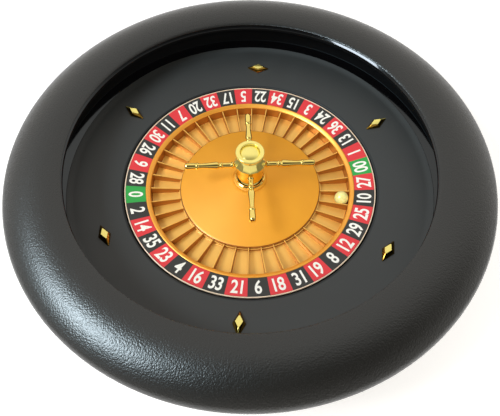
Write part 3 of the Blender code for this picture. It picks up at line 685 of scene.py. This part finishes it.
def cone():
    """Shallow dome round the turret, with a rounded edge over the pockets painted darker as shade.
    """
    edge, low = cone_high.x, cone_low.z
    edge_z = RING_Z - 10 * MM
    top = cone_high.z
    corners = [
        (16.45 * MM, top - 2 * MM, 0),
        (16.45 * MM, top, 0),
        (19 * MM, top, 1.5 * MM),
        (edge - 1.6 * MM, edge_z + 0.25 * MM, 2 * MM),
        (edge, edge_z - 0.5 * MM, 0.7 * MM),
        (edge, low, 0),
        (edge - 2 * MM, low, 0),
        (edge - 2 * MM, edge_z - 2 * MM, 0),
        (19 * MM, top - 2 * MM, 0),
    ]
    mesh = turn(rounded(corners, 5), closed=True)
    # the outer rim of the dome takes the darker lacquer: a painted line of shade
    for face in mesh.faces:
        face.material_index = int(face.calc_center_median().xy.length > edge - 0.9 * MM)
    piece = put("rotor_cone", mesh, ("cone", "wall"), "rotor")
    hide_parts("cone")


def turret():
    """Stem with its foot, twelve-sided head, flat top ring and the domed button sunk in it."""
    base = column_low.z
    height = column_high.z - base
    corners = [
        (9 * MM, 0, 0),
        (17.0 * MM, 0, 0.3 * MM),
        (17.2 * MM, 0.7 * MM, 0.5 * MM),
        (16.4 * MM, 1.3 * MM, 0.4 * MM),
        (15.2 * MM, 1.5 * MM, 0.4 * MM),
        (15.0 * MM, 2.2 * MM, 0.5 * MM),
        (13.4 * MM, 3.0 * MM, 0.6 * MM),
        (14.6 * MM, 4.6 * MM, 1.2 * MM),
        (13.3 * MM, 6.4 * MM, 0.9 * MM),
        (12.6 * MM, 7.2 * MM, 0.8 * MM),
        (12.1 * MM, 10 * MM, 2 * MM),
        (12.2 * MM, 16 * MM, 3 * MM),
        (12.9 * MM, 20.5 * MM, 2 * MM),
        (13.6 * MM, height - 1.0 * MM, 0.6 * MM),
        (13.2 * MM, height, 0.4 * MM),
        (9 * MM, height, 0),
    ]
    outline = [(x, base + z) for x, z in rounded(corners, 6)]
    mesh = turn(outline, 96, closed=True)
    for face in mesh.faces:
        middle = face.calc_center_median()
        face.material_index = int(middle.xy.length > 14.8 * MM and middle.z < base + 2.3 * MM)
    piece = put("turret_stem", mesh, ("polish", "cone"), "rotor")
    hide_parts("turret_column")

    # twelve sloping facets over a narrow upright foot
    low, high = head_low.z, head_high.z
    mesh = turn(
        [
            (0, low),
            (13.4 * MM, low),
            (15.2 * MM, low + 0.5 * MM),
            (15.5 * MM, low + 1.3 * MM),
            (10.0 * MM, low + 7.8 * MM),
            (9.8 * MM, high),
            (0, high),
        ],
        12,
    )
    edges = [e for e in mesh.edges if min(v.co.xy.length for v in e.verts) > 5 * MM]
    bmesh.ops.bevel(mesh, geom=edges, offset=0.28 * MM, segments=2, profile=0.5, affect="EDGES")
    piece = put("turret_facets", mesh, "gilt", "rotor", 24)
    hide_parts("turret_head")

    low, high = cap_low.z, cap_high.z
    corners = [
        (9.5 * MM, low, 0),
        (12.6 * MM, low, 0.3 * MM),
        (13.8 * MM, low + 1.4 * MM, 0.8 * MM),
        (13.8 * MM, high - 0.6 * MM, 0.5 * MM),
        (13.2 * MM, high, 0.4 * MM),
        (9.9 * MM, high, 0.3 * MM),
        (9.5 * MM, high - 0.5 * MM, 0.3 * MM),
    ]
    piece = put("turret_top_ring", turn(rounded(corners, 5), 96, True), "gilt", "rotor")
    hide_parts("turret_ring")

    low, high = button_low.z, button_high.z
    corners = [
        (0, low, 0),
        (9.1 * MM, low, 0),
        (9.1 * MM, high - 2.2 * MM, 0.3 * MM),
        (8.6 * MM, high - 1.8 * MM, 0.4 * MM),
        (5.6 * MM, high - 0.5 * MM, 3.0 * MM),
        (2.4 * MM, high, 2.0 * MM),
        (0, high, 0),
    ]
    piece = put("turret_dome", turn(rounded(corners, 6), 72), "gilt", "rotor")
    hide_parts("turret_button")


def spokes():
    """Turned handles: plain neck, bead, long vase, second bead and a rounded end."""
    low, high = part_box("spoke_1")
    reach = high.x / math.cos(SPOKE_TURN) - 0.1 * MM
    height = (low.z + high.z) / 2
    # distance out and radius, in mm for a spoke that reaches 64 mm
    profile = [
        (8.7, 2.2), (15.5, 2.2), (16.3, 2.9), (17.6, 3.0), (18.6, 2.3), (25.6, 2.25), (26.8, 2.4),
        (27.4, 3.1), (28.4, 3.2), (29.2, 2.3), (30.4, 2.3), (31.1, 3.1), (33.0, 3.35), (36.0, 3.1),
        (42.0, 2.5), (47.0, 2.2), (50.0, 2.5), (50.8, 3.1), (52.0, 3.15), (52.8, 2.6), (54.0, 2.8),
        (58.0, 3.0), (61.6, 3.0), (63.2, 2.6), (64.0, 1.4), (64.1, 0.0),
    ]
    scale = reach / (64.0 * MM)
    corners = [(radius * 1.12 * MM, along * MM * scale, 0.4 * MM) for along, radius in profile]
    corners = [(0, corners[0][1], 0)] + corners
    for number in range(4):
        mesh = turn(rounded(corners, 4), 40)
        angle = SPOKE_TURN + number * math.pi / 2
        place = spin_matrix(angle, 0, height) @ Matrix.Rotation(math.pi / 2, 4, "Y")
        bmesh.ops.transform(mesh, matrix=place, verts=mesh.verts)
        piece = put(f"spoke_handle_{number + 1}", mesh, "polish", "rotor", 50)
        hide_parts(f"spoke_{number + 1}")


def ball():
    """Smooth resin ball in its pocket."""
    mesh = bmesh.new()
    centre = (ball_low + ball_high) / 2
    radius = (ball_high.z - ball_low.z) / 2
    bmesh.ops.create_uvsphere(
        mesh, u_segments=64, v_segments=40, radius=radius, matrix=Matrix.Translation(centre)
    )
    piece = put("resin_ball", mesh, "ball", "ball", 60)
    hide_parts("roulette_ball")


def dress_plain_pieces():
    """Finishes for the pieces shown as the part has them."""
    by_slot = {
        "matte_black": "shell",
        "foot_rubber": "rubber",
        "steel": "steel",
        "cage_brass": "brass",
        "gold_plastic": "gold",
        "satin_gold": "cone",
        "gilt": "gilt",
        "gloss_black": "track",
        "pebbled_plastic": "rim",
        "ivory_resin": "ball",
        "number_print": "black",
    }
    slots = {s["node"]: s["material_slot"] for s in frame["record"]["subparts"]}
    for name, thing in frame["nodes"].items():
        thing.data.materials.clear()
        thing.data.materials.append(finishes[by_slot[slots[name]]])


# ---------------------------------------------------------------- studio


def studio():
    """Pale floor, a room lit from the far side and low down, and a window high on the left."""
    mesh = bmesh.new()
    bmesh.ops.create_grid(mesh, x_segments=1, y_segments=1, size=3.0)
    data = bpy.data.meshes.new("floor")
    mesh.to_mesh(data)
    mesh.free()
    floor = bpy.data.objects.new("floor", data)
    bpy.context.scene.collection.objects.link(floor)
    glow = {"Roughness": 0.9, "Emission Color": linear("#FFFFFF"), "Emission Strength": 0.35}
    paper, tree, shader, where = new_finish("white paper", glow)
    cloud = add(tree, "TexNoise", None, {"Vector": where, "Scale": 3.0, "Detail": 2.0})
    shades = {"Factor": cloud.outputs["Fac"], 6: linear("#F4F4F4"), 7: linear("#FCFCFC")}
    tone = add(tree, "Mix", {"data_type": "RGBA"}, shades)
    tree.links.new(tone.outputs[2], shader.inputs["Base Color"])
    data.materials.append(paper)

    world = bpy.data.worlds.new("studio")
    bpy.context.scene.world = world
    world.use_nodes = True
    tree = world.node_tree
    where = add(tree, "TexCoord").outputs["Generated"]
    parts = add(tree, "SeparateXYZ", None, {"Vector": where})
    smooth = {"interpolation_type": "SMOOTHSTEP"}
    # bright on the far side, dim overhead and behind the viewer
    ahead = {"Value": parts.outputs["Y"], "From Min": -0.3, "From Max": 0.5}
    # bright all round near the level of the table
    low = {"Value": parts.outputs["Z"], "From Min": 0.8, "From Max": 0.1, "To Max": 0.9}
    sides = [add(tree, "MapRange", smooth, links).outputs["Result"] for links in (ahead, low)]
    most = add(tree, "Math", {"operation": "MAXIMUM"}, {0: sides[0], 1: sides[1]})
    spread = {"Value": most.outputs[0], "To Min": 0.08, "To Max": 0.92}
    level = add(tree, "MapRange", None, spread).outputs["Result"]
    backdrop = tree.nodes["Background"]
    backdrop.inputs["Color"].default_value = linear("#FFFBF4")
    tree.links.new(level, backdrop.inputs["Strength"])

    # a window on the left, its mirror glint, and a soft fill from the near side
    panels = (
        ("window", 198, 49, 0.5, 0.4, 10.0, "#F2F7FF", True, True),
        ("window_glint", 198, 49, 0.5, 0.4, 31.0, "#D6F0F8", False, True),
        ("fill", 278, 40, 1.0, 0.7, 12.0, "#FFF9F0", True, False),
    )
    distance = 1.5
    for name, azimuth, elevation, wide, high, power, colour, diffuse, glossy in panels:
        light = bpy.data.lights.new(name, "AREA")
        light.shape = "RECTANGLE"
        light.size, light.size_y = wide, high
        light.energy = power
        light.color = linear(colour)[:3]
        thing = bpy.data.objects.new(name, light)
        thing.visible_diffuse, thing.visible_glossy = diffuse, glossy
        bpy.context.scene.collection.objects.link(thing)
        a, e = math.radians(azimuth), math.radians(elevation)
        toward = Vector((math.cos(a) * math.cos(e), math.sin(a) * math.cos(e), math.sin(e)))
        thing.location = Vector((0, 0, RING_Z)) + distance * toward
        thing.rotation_euler = (-toward).to_track_quat("-Z", "Y").to_euler()

    lens = bpy.data.cameras.new("camera")
    lens.lens = 34.74
    lens.sensor_width = 36
    eye = bpy.data.objects.new("camera", lens)
    bpy.context.scene.collection.objects.link(eye)
    eye.location = (0, -278.4 * MM, RING_Z + 409.5 * MM)
    eye.rotation_euler = (math.radians(30.79), 0, 0)
    bpy.context.scene.camera = eye
    bpy.context.scene.view_settings.view_transform = "Standard"


finishes = make_finishes()
dress_plain_pieces()
outer_rim()
ball_track()
apron()
deflectors()
outer_shell()
number_ring()
numbers()
pocket_wall()
pocket_floor()
frets()
cone()
turret()
spokes()
ball()
studio()
